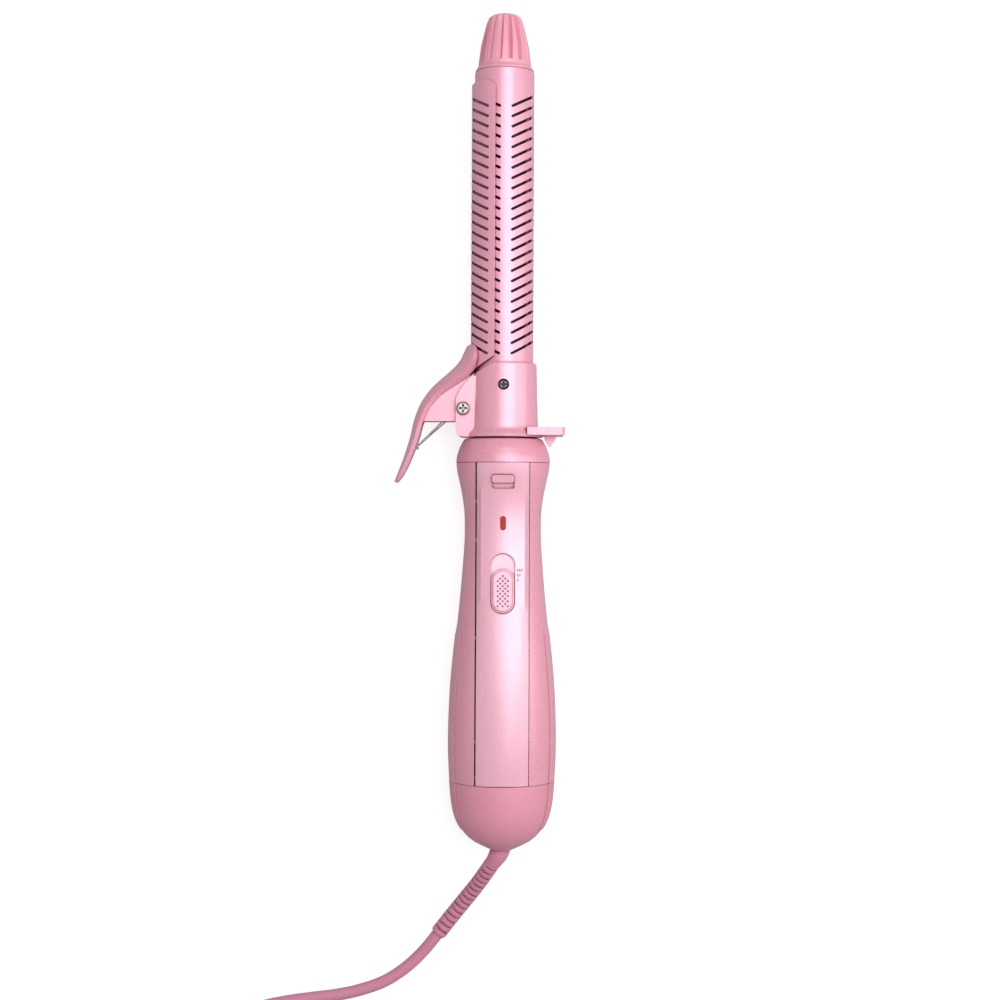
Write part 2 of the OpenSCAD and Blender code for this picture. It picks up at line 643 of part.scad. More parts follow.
module clamp_lever() seated() color(pink) difference() {
    union() {
        route = smooth_route(lever_line, lever_steps);
        rows = [for (i = [len(route) - 1 : -1 : 0]) lever_ring(route[i])];
        polyhedron(points = [for (row = rows) each row], faces = skin_faces(len(rows), len(rows[0])));
        for (z = [-cheek_face, cheek_face - 1.8]) translate([0, 0, z]) linear_extrude(1.8) cheek_outline();
    }
    // Seat of the blade
    rod(blade_r + 0.02, 20, 45);
}

module blade_rivets() seated() color(steel) for (z = [-3.2, 3.2])
    translate([-15.2, 35, z]) rotate([0, 90, 0]) cylinder(r = 0.9, h = 2.15);

// Hairpin spring: coils round the hinge pin, long legs with eyes on the lever, short legs on the collar
coil_r = 2.7;
coil_pitch = 0.72;
leg_z = 1.5;
eye_r = 0.72;
leg_start = [[-19.3, 13.6], [-18.95, 12.2]];
leg_end = [-36.4, -3.3];
module wire(a, b) {
    d = b - a;
    translate(a) rotate([0, acos(d[2] / norm(d)), atan2(d[1], d[0])]) cylinder(r = wire_r, h = norm(d));
}
module clamp_spring() seated() color(steel) for (s = [0, 1]) mirror([0, 0, s]) {
    for (k = [0 : 2]) translate([hinge[0], hinge[1], leg_z + 0.7 + coil_pitch * k])
        rotate_extrude() translate([coil_r, 0]) circle(r = wire_r);
    wire([leg_start[s][0], leg_start[s][1], leg_z], [leg_end[0], leg_end[1], leg_z]);
    translate([leg_end[0] - 0.6, leg_end[1] - 0.6, leg_z])
        rotate_extrude() translate([eye_r, 0]) circle(r = wire_r);
    translate([hinge[0] + coil_r, hinge[1], leg_z]) rotate([-90, 0, 0]) cylinder(r = wire_r, h = 9);
}

// ---- Cord ----

// Where the cord runs, from the end cap to the coil: chosen points in the tool's own frame, Z above the ground
boot_route = [[0, -172.8, 22.7], [-0.4, -175.6, 22.6], [-2.1, -179, 21.8], [-4.6, -183, 19.8], [-7.6, -188, 16.4],
              [-11.4, -194, 12.2], [-16.4, -201, 8.2], [-22, -208.6, 5.3], [-27.6, -216, 4.1]];
cord_route = [[-27.6, -216, 4.1], [-34.5, -224.6, 2.8], [-42, -231.6, 2.6], [-51, -237.4, 2.6], [-61.5, -241.2, 2.6],
              [-71.5, -243.4, 2.6], [-81.5, -244.7, 2.6], [-91, -246, 2.6], [-100.6, -247.8, 2.6],
              [-109.4, -250.2, 2.6], [-117, -253, 2.6]];
coil_turn_in = 110;
coil_outer_r = coil_mid_r + (coil_columns - 1) / 2 * cord_d;
coil_centre = [-117 - coil_outer_r * cos(coil_turn_in), -253 - coil_outer_r * sin(coil_turn_in)];
tail_route = [[coil_centre[0], coil_centre[1] - coil_outer_r, 7.8], [-94, -328.6, 7.2], [-85, -328.8, 6.2],
              [-76, -328.8, 5.8], [-68, -328.8, 6.3], [-61, -328.8, 7.2]];
plug_x = -61;
plug_y = -328.8;
plug_z = 7.2;
plug_long = 34;
plug_spacing = 19;

// Cord pieces keep the ground at Z = 0
module on_ground() translate([axis_x, joint_y, 0]) children();

boot_rings = 15;
boot_steps = 8;
// Radius of the boot at its step k of n: a plain neck, then rings that swell towards the cord
function boot_radius(k, n) =
    let (t = k / n, ring = (t - 0.2) / 0.8 * boot_rings, part = ring - floor(ring), swell = 2.9 + 0.9 * t)
    t < 0.2 ? 4.05 - 1.0 * max(0, t - 0.08) / 0.12 : part < 0.62 ? swell : swell - 0.75;
module strain_relief() on_ground() color(cord_pink) {
    p = smooth_route(boot_route, boot_steps);
    tube(p, [for (k = [0 : len(p) - 1]) boot_radius(k, len(p) - 1)], 16);
}

module power_cord() on_ground() color(cord_pink) tube(cord_route, [for (p = cord_route) cord_d / 2]);

module cord_coil() on_ground() color(cord_pink) translate([coil_centre[0], coil_centre[1], 0]) {
    inner = coil_mid_r - coil_columns * cord_d / 2;
    outer = coil_mid_r + coil_columns * cord_d / 2;
    soft = 2;
    rotate_extrude() polygon([[inner + soft, 0], [outer - soft, 0], [outer, soft], [outer, 2 * cord_d - soft],
                              [outer - soft, 2 * cord_d], [inner + soft, 2 * cord_d], [inner, 2 * cord_d - soft],
                              [inner, soft]]);
}

module cord_tail() on_ground() color(cord_pink) tube(tail_route, [for (p = tail_route) cord_d / 2]);

// Strap wrapped once round the coil's bundle, on the side away from the iron
module cord_tie() on_ground() color(dark) translate([coil_centre[0], coil_centre[1], 0]) rotate([0, 0, 200]) {
    inner = coil_mid_r - coil_columns * cord_d / 2 - 0.1;
    outer = coil_mid_r + coil_columns * cord_d / 2 + 0.1;
    translate([0, 4, 0]) rotate([90, 0, 0]) linear_extrude(8) difference() {
        translate([inner - 1.2, 0]) square([outer - inner + 2.4, 2 * cord_d + 1.3]);
        translate([inner, -1]) square([outer - inner, 2 * cord_d + 1.1]);
    }
}

module plug_body() on_ground() color(cord_pink) translate([plug_x, plug_y, plug_z]) {
    rotate([0, 90, 0]) cylinder(r1 = 3.6, r2 = 5.2, h = 14);
    translate([12, 0, -plug_z + 0.1]) linear_extrude(2 * plug_z - 0.2)
        polygon([[0, -6], [8, -12], [12, -16.6], [plug_long - 12, -16.6], [plug_long - 12, 16.6], [12, 16.6],
                 [8, 12], [0, 6]]);
}

module plug_pins() on_ground() color(brass) for (s = [-1, 1])
    translate([plug_x + plug_long, plug_y + s * plug_spacing / 2, plug_z]) rotate([0, 90, 0]) {
        cylinder(r = plug_pin_r, h = plug_pin_long - 1);
        translate([0, 0, plug_pin_long - 1]) cylinder(r1 = plug_pin_r, r2 = 1.6, h = 1);
    }

front_shell();
back_shell();
front_panel();
top_ring();
end_cap();
intake_screen();
shell_screws();
heater_sleeve();
heater_frame();
heater_coil();
thermostat();
thermal_fuse();
motor();
motor_mount();
switch_body();
circuit_board();
indicator_lens();
indicator_led();
release_spring();
release_button();
switch_knob();
fan_rotor();
rotor_shaft();
barrel();
air_guide();
cool_tip();
tip_screw();
collar();
spigot();
collar_screws();
hinge_screw();
hinge_nut();
clamp_blade();
clamp_lever();
blade_rivets();
clamp_spring();
strain_relief();
power_cord();
cord_coil();
cord_tail();
cord_tie();
plug_body();
plug_pins();
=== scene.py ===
# %% [markdown]
# # A hot-air curling iron
# This file dresses a finished CAD model of a pink curling iron: a vented barrel with a spring clamp, on a
# handle that blows warm air. The CAD parts already have the right sizes, so most of them stay as they are
# and get a finish. Only soft or finely moulded pieces, such as the cord and its ribbed boot, are made new.

import math
import bmesh
import bpy
from mathutils import Matrix, Vector


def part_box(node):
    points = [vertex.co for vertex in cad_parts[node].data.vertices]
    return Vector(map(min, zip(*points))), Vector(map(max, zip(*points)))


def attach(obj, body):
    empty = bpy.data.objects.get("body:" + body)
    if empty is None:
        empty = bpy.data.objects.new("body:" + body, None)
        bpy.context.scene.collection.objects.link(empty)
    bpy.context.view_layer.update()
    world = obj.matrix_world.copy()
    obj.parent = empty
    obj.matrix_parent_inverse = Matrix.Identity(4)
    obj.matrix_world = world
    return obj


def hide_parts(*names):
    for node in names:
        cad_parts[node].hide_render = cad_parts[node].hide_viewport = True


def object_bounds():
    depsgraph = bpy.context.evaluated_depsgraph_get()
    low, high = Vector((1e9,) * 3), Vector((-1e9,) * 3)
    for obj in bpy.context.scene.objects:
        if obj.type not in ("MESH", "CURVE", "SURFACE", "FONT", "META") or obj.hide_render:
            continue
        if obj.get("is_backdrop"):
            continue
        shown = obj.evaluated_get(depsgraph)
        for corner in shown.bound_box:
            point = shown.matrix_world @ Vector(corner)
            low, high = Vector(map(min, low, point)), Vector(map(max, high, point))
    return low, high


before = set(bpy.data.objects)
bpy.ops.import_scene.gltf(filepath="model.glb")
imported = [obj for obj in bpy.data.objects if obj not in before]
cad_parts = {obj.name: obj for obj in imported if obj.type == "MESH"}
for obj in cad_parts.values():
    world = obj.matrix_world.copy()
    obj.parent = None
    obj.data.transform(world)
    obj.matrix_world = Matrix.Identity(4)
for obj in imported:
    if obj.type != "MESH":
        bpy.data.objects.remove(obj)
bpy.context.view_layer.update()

# %% [markdown]
# ## The tool's own frame
# The iron lies on its back, so its axis floats above the ground by the radius of the belly. Every station is
# easier to read as a distance along that axis from the joint between head and handle. The ribbed tip is
# round, so the middle of its box is the axis, and its top fixes the joint.

# %% Where the axis and the joint are
MM = 0.001
TIP_TOP = 180.4  # height of the tip above the joint
tip_low, tip_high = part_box("cool_tip")
axis_x = (tip_low.x + tip_high.x) / 2
axis_z = (tip_low.z + tip_high.z) / 2
joint_y = tip_high.y - TIP_TOP * MM


def spot(x, y, z):
    """A point given in millimetres from the axis and the joint."""
    return Vector((axis_x + x * MM, joint_y + y * MM, axis_z + z * MM))


def ground_spot(x, y, z):
    """The same, but with z measured from the ground."""
    return Vector((axis_x + x * MM, joint_y + y * MM, z * MM))


print("axis at x", round(axis_x, 4), "z", round(axis_z, 4), "joint at y", round(joint_y, 4))

# %% [markdown]
# ## The camera
# A product like this is shown straight from above, from about three quarters of a metre. A long lens that
# far away keeps the round barrel from bulging. The camera stands a little off the axis, as a hand-set camera
# does, which shows slightly more of one side of the handle.

# %% Camera above the tool
CAMERA_PLACE = (-1.28, -26.3, 747)  # a little off the axis, and high above it
CAMERA_TURN = 0.25  # degrees: the tool lies a hair off square
camera_data = bpy.data.cameras.new("overhead_camera")
camera_data.lens = 63
camera_data.sensor_width = 36
camera_data.clip_start = 0.05
camera = bpy.data.objects.new("overhead_camera", camera_data)
camera.location = spot(*CAMERA_PLACE)
camera.rotation_euler = (0, 0, math.radians(CAMERA_TURN))
bpy.context.scene.collection.objects.link(camera)
bpy.context.scene.camera = camera
bpy.context.scene.view_settings.view_transform = "Standard"
print("camera at", tuple(round(v, 3) for v in camera.location))

# %% [markdown]
# ## The cord
# The lead is a round rubber cord of 5.2 mm. It leaves the end cap inside its boot, sinks to the ground in a
# loose bend and runs away to a storage coil. A route of a few points is turned into a smooth line
# with a spline that passes through each of them, because a cord never turns a corner.

# %% The cord's route to the coil
CORD_D = 5.2
boot_route = [(0, -172.8, 22.7), (-0.4, -175.6, 22.6), (-2.1, -179, 21.8), (-4.6, -183, 19.8),
              (-7.6, -188, 16.4), (-11.4, -194, 12.2), (-16.4, -201, 8.2), (-22, -208.6, 5.3),
              (-27.6, -216, 4.1)]
cord_route = [(-27.6, -216, 4.1), (-34.5, -224.6, 2.8), (-42, -231.6, 2.6), (-51, -237.4, 2.6),
              (-61.5, -241.2, 2.6), (-71.5, -243.4, 2.6), (-81.5, -244.7, 2.6), (-91, -246, 2.6),
              (-100.6, -247.8, 2.6), (-109.4, -250.2, 2.6), (-117, -253, 2.6)]


def smooth_line(points, per):
    """A smooth line through points, with so many steps between each two."""
    line = []
    for i in range(len(points) - 1):
        a, b, c, d = (Vector(points[min(max(i + k, 0), len(points) - 1)]) for k in (-1, 0, 1, 2))
        for step in range(per):
            u = step / per
            line.append(0.5 * (2 * b + (c - a) * u + (2 * a - 5 * b + 4 * c - d) * u ** 2
                               + (3 * b - a - 3 * c + d) * u ** 3))
    return line + [Vector(points[-1])]


def line_length(points):
    return sum((b - a).length for a, b in zip(points, points[1:]))


lead_in = smooth_line(boot_route[1:-1] + cord_route, 6)
print("cord to the coil:", round(line_length(lead_in)), "mm")

# %% [markdown]
# ## The storage coil
# The rest of the lead is wound as it is in the box: four turns side by side on the ground, spiralling
# inwards, then the same again on top, spiralling outwards. Each turn is a circle apart from one short zone
# where it steps over by one cord width. Where the cord climbs to the upper layer, the turn above it steps
# aside in step with the climb, so the two stay exactly one cord apart.

# %% Wind the coil
COIL_MIDDLE = 30.9  # radius halfway between the outer and the inner turn
COLUMNS = 4
ENTRY_ANGLE = 110
LEAVE_ANGLE = 270
CLIMB_FROM, CLIMB_TO = 210, 300  # degrees into a turn
STEP_FROM = 300  # degrees into a turn, up to its end
coil_outer = COIL_MIDDLE + (COLUMNS - 1) / 2 * CORD_D
coil_inner = coil_outer - (COLUMNS - 1) * CORD_D
entry = math.radians(ENTRY_ANGLE)
coil_centre = Vector((cord_route[-1][0] - coil_outer * math.cos(entry),
                      cord_route[-1][1] - coil_outer * math.sin(entry)))


def ease(t):
    """0 to 1 with a level start and end."""
    t = min(max(t, 0), 1)
    return t * t * (3 - 2 * t)


def coil_place(wound):
    """Radius and height of the cord after it has wound so many degrees."""
    turn, into = divmod(wound, 360)
    climb = math.radians(90 * ease((into - CLIMB_FROM) / (CLIMB_TO - CLIMB_FROM)))
    if turn < COLUMNS - 1:
        return coil_outer - CORD_D * (turn + ease((into - STEP_FROM) / (360 - STEP_FROM))), CORD_D / 2
    if turn == COLUMNS - 1:
        return coil_inner, CORD_D * (1.5 - math.cos(climb))
    return coil_inner + CORD_D * (turn - COLUMNS + math.sin(climb)), CORD_D * 1.5


STEP_ANGLE = 6
wound_total = (2 * COLUMNS - 1) * 360 + LEAVE_ANGLE - ENTRY_ANGLE
coil_line = []
for wound in range(STEP_ANGLE, wound_total + 1, STEP_ANGLE):
    radius, height = coil_place(wound)
    angle = entry + math.radians(wound)
    coil_line.append(Vector((coil_centre.x + radius * math.cos(angle),
                             coil_centre.y + radius * math.sin(angle), height)))
PLUG_START = (-61, -328.8, 7.2)
tail_route = [tuple(coil_line[-1]), (-94, -328.6, 7.2), (-85, -328.8, 6.2), (-76, -328.8, 5.8),
              (-68, -328.8, 6.3), PLUG_START]
cord_line = lead_in + coil_line + smooth_line(tail_route, 5)[1:]
print("coil:", round(line_length(coil_line)), "mm of", round(line_length(cord_line)), "mm")

# %% The cord itself
def skin_piece(name, work):
    """A new object from a finished bmesh, with smooth faces."""
    bmesh.ops.recalc_face_normals(work, faces=work.faces)
    data = bpy.data.meshes.new(name)
    work.to_mesh(data)
    work.free()
    data.polygons.foreach_set("use_smooth", [True] * len(data.polygons))
    piece = bpy.data.objects.new(name, data)
    bpy.context.scene.collection.objects.link(piece)
    return piece


def bridge_rings(work, rings):
    """Faces between rings of corners, and a cap on the first and the last."""
    count = len(rings[0])
    for low, high in zip(rings, rings[1:]):
        for k in range(count):
            work.faces.new((low[k], low[(k + 1) % count], high[(k + 1) % count], high[k]))
    work.faces.new(list(reversed(rings[0])))
    work.faces.new(rings[-1])


def sweep(name, line, radius_at, sides):
    """A closed skin along a line. Its radius depends on the share of the length and the angle."""
    total = line_length(line)
    work, rings, gone = bmesh.new(), [], 0.0
    side = Vector((1, 0, 0))
    for i, point in enumerate(line):
        gone += (point - line[i - 1]).length if i else 0
        along = (line[min(i + 1, len(line) - 1)] - line[max(i - 1, 0)]).normalized()
        side = (side - along * side.dot(along)).normalized()
        up = along.cross(side)
        ring = []
        for k in range(sides):
            turn = 2 * math.pi * k / sides
            ring.append(work.verts.new(point + radius_at(gone / total, turn)
                                       * (math.cos(turn) * side + math.sin(turn) * up)))
        rings.append(ring)
    bridge_rings(work, rings)
    return skin_piece(name, work)


CORD_SIDES = 14
cord_path = [ground_spot(*p) for p in cord_line]
cord = sweep("mains_cord", cord_path, lambda share, turn: CORD_D / 2 * MM, CORD_SIDES)
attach(cord, "handle")
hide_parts("power_cord", "cord_coil", "cord_tail")
print(cord.name, "has", len(cord.data.polygons), "faces")

# %% [markdown]
# ## The floor and the light
# The iron lies on plain pale paper. Point lamps would leave hard dots on the pearl paint, so every lamp is
# an area lamp: a big soft box above and slightly to the right gives the long soft band down the barrel and
# the upper handle, a tall one further right brightens that side, and a weak one keeps the left side readable.
# The room's own light is even and low.

# %% Floor, lamps and room
def soft_box(name, place, aim, size, power):
    """A white area lamp at a place, turned towards its aim; power is in watts."""
    lamp = bpy.data.lights.new(name, "AREA")
    lamp.shape = "RECTANGLE"
    lamp.size, lamp.size_y = size
    lamp.energy = power
    box = bpy.data.objects.new(name, lamp)
    box.location = place
    box.rotation_mode = "QUATERNION"
    box.rotation_quaternion = (Vector(aim) - Vector(place)).to_track_quat("-Z", "Y")
    bpy.context.scene.collection.objects.link(box)
    return box


ROOM_LIGHT = 0.4
FLOOR_HALF = 12  # metres, so that the paper's edge is far away
middle = spot(0, 0, 0)
barrel_root = middle + Vector((0, 0.05, 0))
key_box = soft_box("key_box", middle + Vector((0.2, 0.2, 0.85)), barrel_root, (0.62, 0.62), 5.3)
fill_box = soft_box("fill_box", middle + Vector((-0.9, -0.1, 0.5)), middle, (0.5, 0.9), 0.5)
side_box = soft_box("side_box", middle + Vector((0.8, 0.05, 0.6)), middle, (0.5, 1.0), 3.4)
room = bpy.data.worlds.new("studio")
room.use_nodes = True
backdrop = room.node_tree.nodes["Background"]
backdrop.inputs["Color"].default_value = (1, 1, 1, 1)
backdrop.inputs["Strength"].default_value = ROOM_LIGHT
bpy.context.scene.world = room

floor_mesh = bmesh.new()
bmesh.ops.create_grid(floor_mesh, x_segments=1, y_segments=1, size=FLOOR_HALF)
floor_data = bpy.data.meshes.new("studio_floor")
floor_mesh.to_mesh(floor_data)
floor_mesh.free()
floor = bpy.data.objects.new("studio_floor", floor_data)
bpy.context.scene.collection.objects.link(floor)
floor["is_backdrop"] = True
print("lamps:", key_box.name, fill_box.name, side_box.name)

# %% [markdown]
# ## Writing a finish as a formula
# A material is a graph of nodes, but it reads better as arithmetic. `Wire` wraps one output of the graph, so
# that `1 - mask` or `grain * 0.2` adds the Math node by itself. `Finish` holds one material: its `add` method
# makes any other node from its type, its settings and what goes into its sockets.

# %% Wires and finishes
class Wire:
    """One output socket that Python can do sums with."""

    def __init__(self, finish, socket):
        self.finish, self.socket = finish, socket

    def sum_with(self, operation, *values):
        return self.finish.add("Math", {"operation": operation}, dict(enumerate(values)))

    def __add__(self, other):
        return self.sum_with("ADD", self, other)

    def __radd__(self, other):
        return self.sum_with("ADD", other, self)

    def __sub__(self, other):
        return self.sum_with("SUBTRACT", self, other)

    def __rsub__(self, other):
        return self.sum_with("SUBTRACT", other, self)

    def __mul__(self, other):
        return self.sum_with("MULTIPLY", self, other)

    def __rmul__(self, other):
        return self.sum_with("MULTIPLY", other, self)

    def __gt__(self, other):
        return self.sum_with("GREATER_THAN", self, other)


class Finish:
    """A material whose nodes are made one call at a time."""

    def __init__(self, name):
        self.material = bpy.data.materials.new(name)
        self.material.use_nodes = True
        self.tree = self.material.node_tree
        self.tree.nodes.clear()

    def add(self, kind, settings=None, inputs=None, output=0):
        """Makes a node, sets its settings, then fills its sockets with values or wires."""
        node = self.tree.nodes.new("ShaderNode" + kind)
        for name, value in (settings or {}).items():
            if name == "stops":
                ramp = node.color_ramp.elements
                while len(ramp) < len(value):
                    ramp.new(0.5)
                for stop, (place, colour) in zip(ramp, value):
                    stop.position, stop.color = place, colour
            else:
                setattr(node, name, value)
        for name, value in (inputs or {}).items():
            if isinstance(value, Wire):
                self.tree.links.new(value.socket, node.inputs[name])
            else:
                node.inputs[name].default_value = value
        return Wire(self, node.outputs[output]) if node.outputs else None

    def blend(self, mask, low, high):
        """A colour between two, by a mask."""
        settings = {"data_type": "RGBA", "clamp_factor": True}
        return self.add("Mix", settings, {0: mask, 6: low, 7: high}, 2)  # 6, 7 and 2 are its colour sockets

    def place(self, scale):
        """Places on the object in metres, times scale."""
        where = self.add("TexCoord", output="Object")
        return self.add("VectorMath", {"operation": "SCALE"}, {0: where, "Scale": scale})

    def noise(self, size, detail=2.0, rough=0.5, stretch=None):
        """Soft noise whose lumps are about size millimetres across."""
        where = self.place(1 / (size * MM))
        if stretch:
            where = self.add("VectorMath", {"operation": "MULTIPLY"}, {0: where, 1: stretch})
        return self.add("TexNoise", {}, {"Vector": where, "Scale": 1.0, "Detail": detail, "Roughness": rough})

    def crease(self, reach, start, gain):
        """An occlusion mask for painting shade into a colour, high in hollows up to reach millimetres wide.
        Shade below start is left out.
        """
        open_sky = self.add("AmbientOcclusion", {"samples": 6}, {"Distance": reach * MM}, "AO")
        return (1 - start - open_sky) * gain

    def bump(self, height, depth, corner=0.0):
        """A normal from a height, over edges rounded by corner millimetres."""
        inputs = {"Height": height, "Strength": 1.0, "Distance": depth * MM}
        if corner:
            inputs["Normal"] = self.add("Bevel", {"samples": 4}, {"Radius": corner * MM})
        return self.add("Bump", {}, inputs)

    def surface(self, **values):
        """The Principled shader, linked to the output; names use _ for a space."""
        shader = self.add("BsdfPrincipled", {}, {n.replace("_", " "): v for n, v in values.items()})
        self.add("OutputMaterial", {}, {"Surface": shader})
        return self.material


def tint(red, green, blue):
    """A screen colour from 0 to 255 as the linear colour that shaders use."""
    return (*(((v / 255 + 0.055) / 1.055) ** 2.4 for v in (red, green, blue)), 1)


def deeper(colour, share):
    """A darker, slightly redder shade of a pink."""
    return (colour[0] * share ** 0.6, colour[1] * share, colour[2] * share ** 0.9, 1)


print("a crease of soft pink is", [round(v, 2) for v in deeper(tint(236, 180, 198), 0.3)])

# %% [markdown]
# ## Pearl plastic
# The casing, the panel and the grip pieces are moulded ABS with a pearl paint. Under a soft light it glows
# where it faces the lamp. Four things make it: a slightly metallic body, a slow drift of colour, tiny mica
# specks that are real but drawn near-white as a painted glint, and a faint orange-peel on the surface.
# A painted texture could do the same, but a formula stays sharp at any distance. Painted shade is added on
# top: an occlusion mask turns the colour deeper and warmer in every join and groove, where little light gets
# in.

# %% Pearl plastic
FLAKE = 0.22  # millimetres across
DULL_FLAKES = 0.93  # share of the mica specks left without a painted glint


def pearl_plastic(name, colour, rough=0.4, coat=0.3, flake_glint=0.3, corner=0.22, seam_shade_gain=1.4, pearl=0.2):
    finish = Finish(name)
    drift = finish.noise(26, detail=3)
    flake = finish.add("TexVoronoi", {}, {"Vector": finish.place(1 / (FLAKE * MM)), "Scale": 1.0}, "Color")
    glinting_flake = finish.add("SeparateColor", {}, {"Color": flake}) > DULL_FLAKES
    seam_shade = finish.crease(1.6, 0.15, seam_shade_gain)
    body = finish.blend(drift * 0.5, colour, deeper(colour, 0.9))
    # Painted glint: a few mica specks are mixed towards near-white in the base colour, as if catching the
    # light.
    body = finish.blend(glinting_flake * flake_glint, body, tint(255, 244, 248))
    # Painted shade: the hollows are darkened in the base colour by the occlusion mask.
    body = finish.blend(seam_shade, body, deeper(colour, 0.1))
    skin = finish.noise(0.9, detail=1)
    handling = finish.noise(7, detail=4, rough=0.6)
    return finish.surface(Base_Color=body, Metallic=pearl, Roughness=rough - 0.05 + handling * 0.1,
                          Coat_Weight=coat, Coat_Roughness=0.25, Specular_IOR_Level=0.6,
                          Normal=finish.bump(skin, 0.006, corner))


shell_pink = pearl_plastic("shell_pink", tint(232, 158, 178))
# The panel and the button get stronger painted shade in the gaps round them.
panel_pink = pearl_plastic("panel_pink", tint(236, 176, 194), rough=0.36, coat=0.5, seam_shade_gain=2.2)
button_pink = pearl_plastic("button_pink", tint(236, 170, 190), rough=0.36, corner=0.16, seam_shade_gain=2.4)
head_pink = pearl_plastic("head_pink", tint(234, 162, 182), rough=0.36, coat=0.5)
matt = {"coat": 0.15, "flake_glint": 0.15, "pearl": 0.15}  # the pieces at both ends are duller
deep_pink = pearl_plastic("deep_pink", tint(228, 150, 170), rough=0.48, seam_shade_gain=1.0, **matt)
tip_pink = pearl_plastic("tip_pink", tint(238, 164, 182), rough=0.46, seam_shade_gain=0.5, **matt)
print("pearl finishes:", shell_pink.name, panel_pink.name, button_pink.name, head_pink.name)
print("duller ones:", deep_pink.name, tip_pink.name)

# %% [markdown]
# ## Ceramic-coated metal
# The barrel and the clamp blade are pressed sheet with a baked pink coating. It is smoother than the plastic
# and a bit metallic, with long faint drawing marks round the tube. Stretched noise gives those marks without
# a texture. The walls of the slots get painted shade: an occlusion mask darkens them where little light gets
# in.

# %% Ceramic coating
def ceramic_coat(name, colour):
    finish = Finish(name)
    drawn = finish.noise(1.0, detail=2, stretch=(0.06, 1, 0.06))
    cloud = finish.noise(18, detail=3)
    seam_shade = finish.crease(3, 0.34, 5)
    body = finish.blend(cloud * 0.45, colour, deeper(colour, 0.9))
    # Painted shade: slot walls and hollows are darkened almost to black in the base colour.
    body = finish.blend(seam_shade, body, deeper(colour, 0.05))
    return finish.surface(Base_Color=body, Metallic=0.25, Roughness=0.33 + drawn * 0.1, Coat_Weight=0.5,
                          Coat_Roughness=0.2, Normal=finish.bump(drawn + cloud * 0.3, 0.004, 0.12))


barrel_pink = ceramic_coat("barrel_pink", tint(236, 166, 187))
print("coating:", barrel_pink.name)

# %% [markdown]
# ## Rubber, metal and the parts inside
# The cord and its boot are soft PVC: matt, slightly mottled, a touch darker than the casing. Screws and
# springs are bare or darkened steel with fine tool marks. Both get painted shade from an occlusion mask in
# their hollows. The parts behind the slots are dark heat-proof plastic; the air guide's near-black in the
# barrel is painted shade, so the slots read as black. One short function for each kind of stuff keeps them
# alike.

# %% Soft PVC
def soft_rubber(name, colour, rough=0.5, groove_shade=1.2):
    finish = Finish(name)
    mottle = finish.noise(5, detail=4, rough=0.6)
    grain = finish.noise(0.35, detail=2)
    body = finish.blend(mottle * 0.6, colour, deeper(colour, 0.86))
    # Painted shade: the boot's slots and other hollows are darkened in the base colour.
    body = finish.blend(finish.crease(2.2, 0.15, groove_shade), body, deeper(colour, 0.18))
    return finish.surface(Base_Color=body, Roughness=rough + mottle * 0.12, Sheen_Weight=0.15,
                          Normal=finish.bump(grain, 0.012, 0.1))


# %% Metal, dark plastic and boards
def tooled_metal(name, colour, rough, stretch=(1, 1, 0.1)):
    finish = Finish(name)
    marks = finish.noise(0.3, detail=3, stretch=stretch)
    # Painted shade: crevices are darkened almost to black in the base colour.
    body = finish.blend(finish.crease(1.4, 0.1, 2.2), colour, deeper(colour, 0.05))
    return finish.surface(Base_Color=body, Metallic=0.9, Roughness=rough + marks * 0.14,
                          Normal=finish.bump(marks, 0.004, 0.08))


def dull_solid(name, colour, size=2.0, rough=0.6):
    """Moulded or pressed material with a fine grain."""
    finish = Finish(name)
    grain = finish.noise(size, detail=4, rough=0.65)
    body = finish.blend(grain, deeper(colour, 0.8), colour)
    return finish.surface(Base_Color=body, Roughness=rough - 0.1 + grain * 0.2,
                          Normal=finish.bump(grain, 0.02))


def glowing_red(name, colour, glow):
    finish = Finish(name)
    depth = finish.noise(1.2, detail=2)
    body = finish.blend(depth, colour, deeper(colour, 0.5))
    return finish.surface(Base_Color=body, Roughness=0.45 + depth * 0.1, Coat_Weight=0.05,
                          Emission_Color=body, Emission_Strength=glow)


cord_pink = soft_rubber("cord_pink", tint(206, 132, 160))
# The boot's slots get strong painted shade.
boot_pink = soft_rubber("boot_pink", tint(208, 132, 160), rough=0.42, groove_shade=2.8)
plain = {
    # Near-black: real dark plastic on most parts; on the air guide, painted shade for the dark inside of the
    # barrel.
    "dark_plastic": dull_solid("dark_plastic", tint(30, 16, 21)),
    "bright_screw": tooled_metal("bright_screw", tint(176, 172, 170), 0.3),
    "grey_screw": tooled_metal("grey_screw", tint(104, 101, 104), 0.34),
    "spring_steel": tooled_metal("spring_steel", tint(176, 174, 172), 0.22, (1, 0.1, 1)),
    "motor_can": tooled_metal("motor_can", tint(178, 180, 184), 0.3, (1, 0.05, 1)),
    "mica": dull_solid("mica", tint(186, 172, 140), size=6, rough=0.4),
    "heater_wire": tooled_metal("heater_wire", tint(120, 112, 108), 0.4),
    "board_green": dull_solid("board_green", tint(38, 96, 62), rough=0.4),
    # The lens is no lamp: its faint glow is painted light from the LED behind it.
    "lamp_red": glowing_red("lamp_red", tint(172, 4, 8), 0.1),
    "led_red": glowing_red("led_red", tint(236, 60, 50), 1.2),
    "tie_black": dull_solid("tie_black", tint(40, 36, 40), size=0.5, rough=0.8),
    "pin_brass": tooled_metal("pin_brass", tint(214, 196, 150), 0.2, (0.1, 1, 1)),
}
print("plain finishes:", len(plain))

# %% [markdown]
# ## Dressing the CAD parts
# CAD faces arrive as separate patches with their own corners. Welding the doubles and splitting only the
# sharp edges lets a curved face shade as one smooth face, without moving a single vertex of the CAD mesh.

